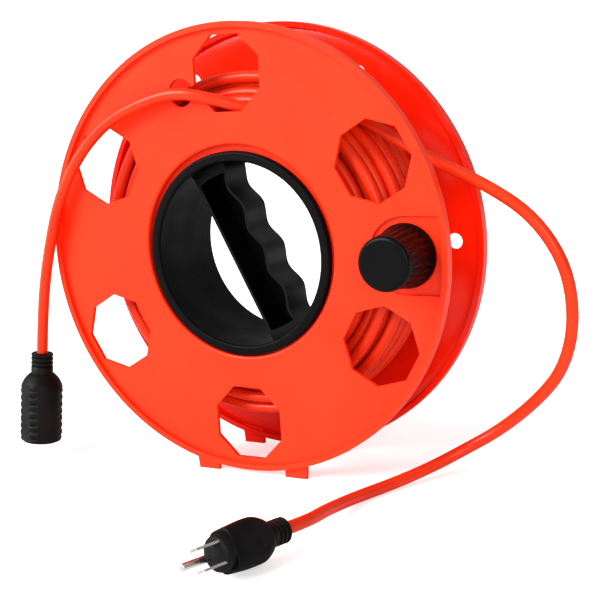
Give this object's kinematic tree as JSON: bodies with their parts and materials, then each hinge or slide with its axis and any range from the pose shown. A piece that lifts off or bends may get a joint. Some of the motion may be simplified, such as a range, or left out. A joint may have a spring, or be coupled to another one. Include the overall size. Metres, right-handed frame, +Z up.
{
  "type": "extension cord reel",
  "caption": "Open reel for an extension cord: a flanged drum that turns around a hand-held hub with a grip across it, a crank knob, and a cord with plug and connector.",
  "frame": {"origin": "on the floor under the middle of the reel's box: halfway between the knob's front and the back rim, below the drum's axis", "axes": "+Z up, -Y out of the front flange, where the knob is, +X towards the knob's side"},
  "size_m": [0.4324, 0.2721, 0.3234],
  "materials": {
    "flange_plastic": "moulded, semi-gloss orange-red",
    "hub_plastic": "finely textured black",
    "knob_plastic": "satin black",
    "cord_jacket": "satin orange vinyl jacket",
    "plug_vinyl": "satin black vinyl",
    "insert_plastic": "matt black",
    "plated_pin": "bright nickel plate",
    "contact_brass": "plain",
    "screw_steel": "zinc plated"
  },
  "bodies": {
    "drum": {"front_flange": "flange_plastic", "back_flange": "flange_plastic", "drum_screws": "screw_steel", "knob_spindle": "screw_steel", "knob_washer": "screw_steel", "knob_nut": "screw_steel", "cord_winding": "cord_jacket", "cord_connector_lead": "cord_jacket", "cord_plug_lead": "cord_jacket", "plug_relief": "plug_vinyl", "plug_body": "plug_vinyl", "plug_bridge": "insert_plastic", "plug_line_blade": "plated_pin", "plug_neutral_blade": "plated_pin", "plug_ground_pin": "plated_pin", "connector_relief": "plug_vinyl", "connector_body": "plug_vinyl", "connector_insert": "insert_plastic", "connector_line_contact": "contact_brass", "connector_neutral_contact": "contact_brass", "connector_ground_contact": "contact_brass"},
    "hub": {"hub_front_ring": "hub_plastic", "hub_core": "hub_plastic", "hub_rear_ring": "hub_plastic", "hub_handle": "hub_plastic", "handle_screws": "screw_steel"},
    "knob": {"knob_grip": "knob_plastic", "knob_cap": "knob_plastic"}
  },
  "joints": [
    {"name": "hub_spin", "type": "hinge", "parent": "drum", "child": "hub", "pos_m": [0, 0.0165, 0.1616], "axis": [0, 1, 0], "continuous": true},
    {"name": "knob_spin", "type": "hinge", "parent": "drum", "child": "knob", "pos_m": [0.129, -0.038, 0.1634], "axis": [0, 1, 0], "continuous": true}
  ]
}
